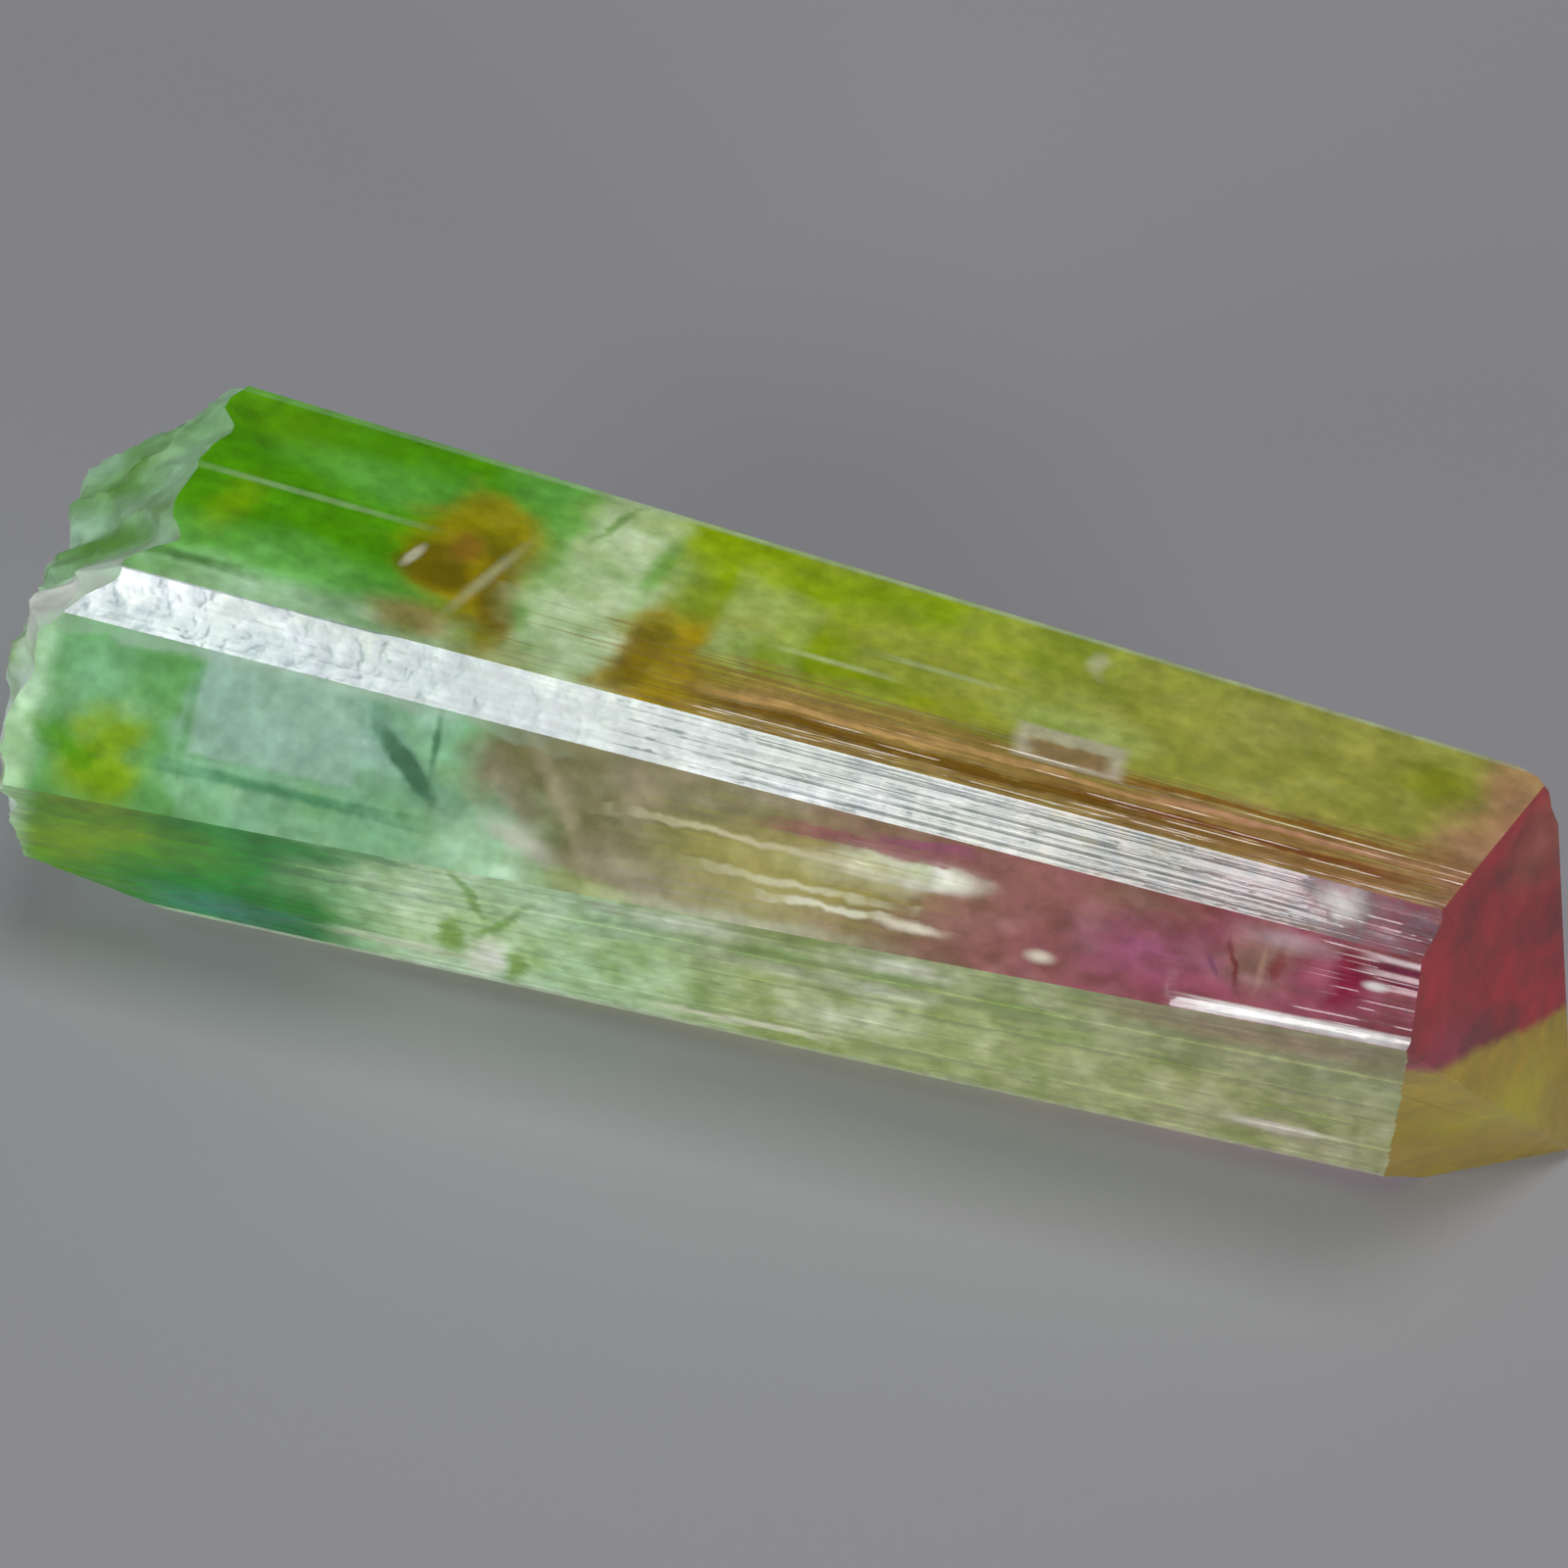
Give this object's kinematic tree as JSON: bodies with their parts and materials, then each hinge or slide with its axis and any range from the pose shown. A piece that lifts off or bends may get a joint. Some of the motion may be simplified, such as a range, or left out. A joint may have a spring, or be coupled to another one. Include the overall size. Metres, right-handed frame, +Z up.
{
  "type": "tourmaline crystal",
  "caption": "Long striated tourmaline prism, green at its broken end and pink at its pointed tip, clear enough to see into; lies on one flat side as a display specimen.",
  "frame": {"origin": "on the surface the crystal lies on, below the middle of its bounding box", "axes": "+X along the prism towards the pointed tip, +Z up, -Y towards the front faces that are seen with the tip at the right"},
  "size_m": [0.0519, 0.0175, 0.0148],
  "materials": {
    "tourmaline": "glassy, striated along its length, see-through"
  },
  "bodies": {
    "root": {"tourmaline_crystal": "tourmaline"}
  },
  "joints": []
}
